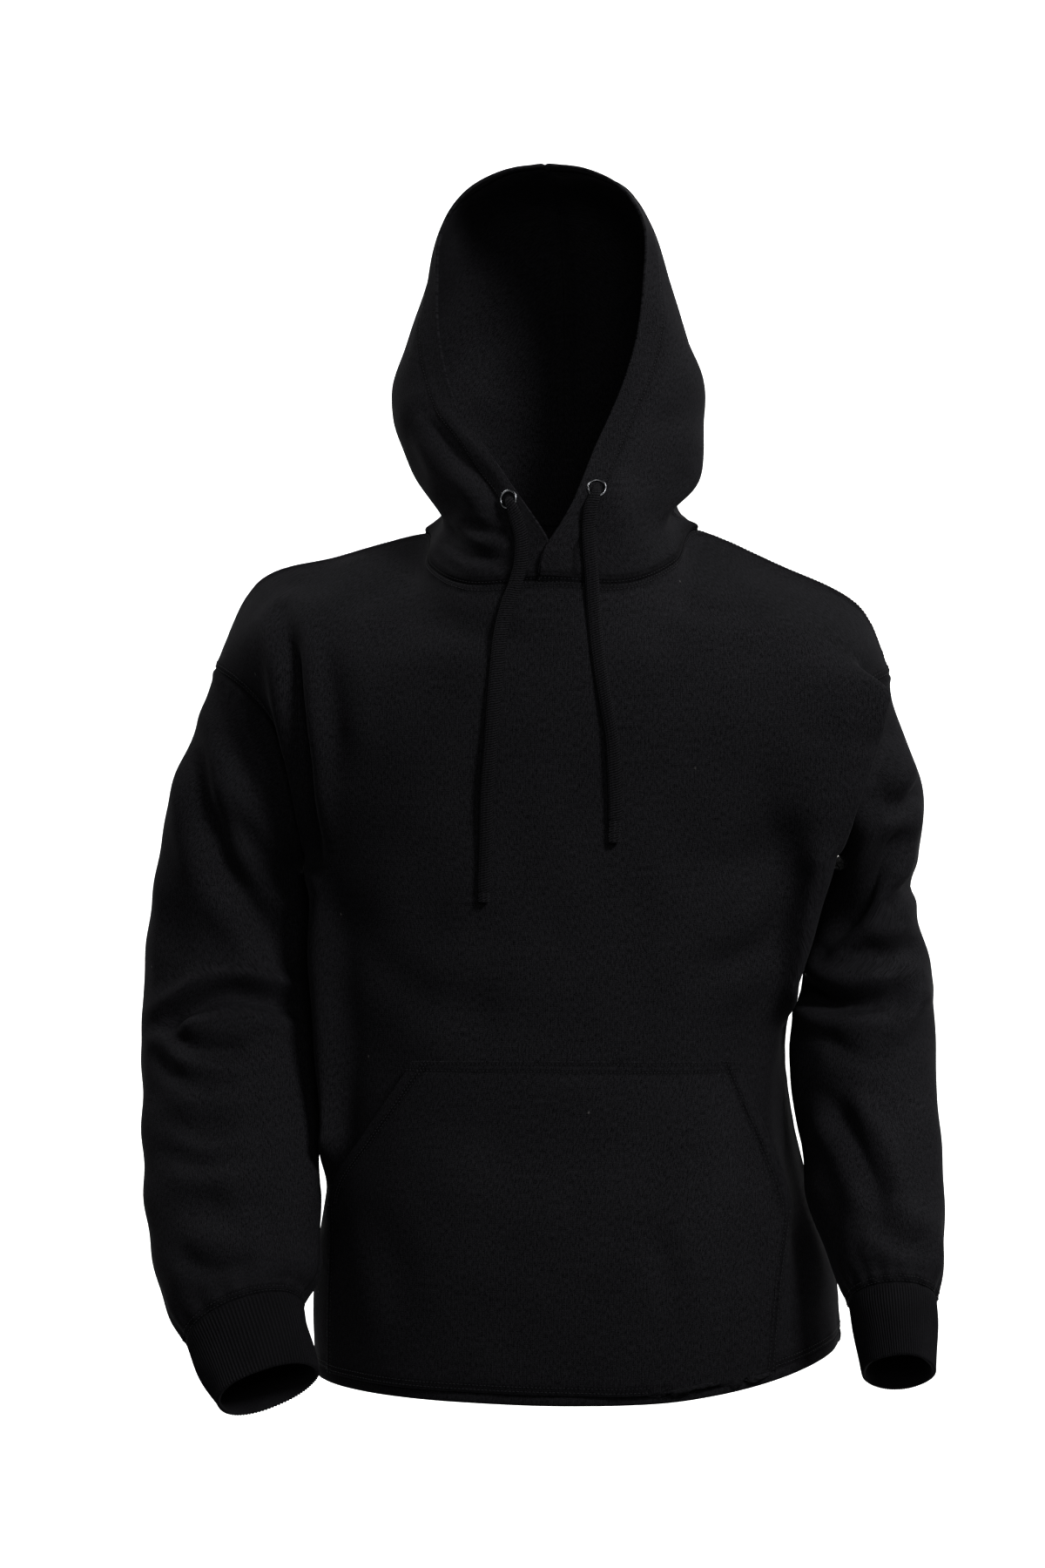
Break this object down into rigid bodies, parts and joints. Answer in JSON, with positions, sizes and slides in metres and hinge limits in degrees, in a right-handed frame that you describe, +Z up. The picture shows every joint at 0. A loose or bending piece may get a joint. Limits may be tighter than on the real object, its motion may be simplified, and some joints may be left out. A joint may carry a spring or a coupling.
{
  "type": "pullover hoodie",
  "caption": "Pullover hooded sweatshirt in its worn, hollow form, hood up, with dropped shoulders, ribbed cuffs, a kangaroo pocket and a drawcord.",
  "frame": {"origin": "base of the wearer's neck, midway between the shoulders, where the garment hangs from the wearer", "axes": "+Z up along the body, the front faces -Y, the wearer's left is +X"},
  "size_m": [0.6474, 0.3227, 0.9697],
  "materials": {
    "fleece": "black brushed fleece knit, matt with a faint pile",
    "ribbing": "black ribbed knit, matt",
    "drawcord": "black flat braid, matt",
    "eyelet": "satin nickel"
  },
  "bodies": {
    "root": {"front_panel": "fleece", "back_panel": "fleece", "sleeve_right": "fleece", "sleeve_left": "fleece", "cuff_right": "ribbing", "cuff_left": "ribbing", "hood_right": "fleece", "hood_left": "fleece", "hem_band": "ribbing", "kangaroo_pocket": "fleece", "eyelet_right": "eyelet", "eyelet_left": "eyelet", "drawcord_right": "drawcord", "drawcord_left": "drawcord"}
  },
  "joints": []
}
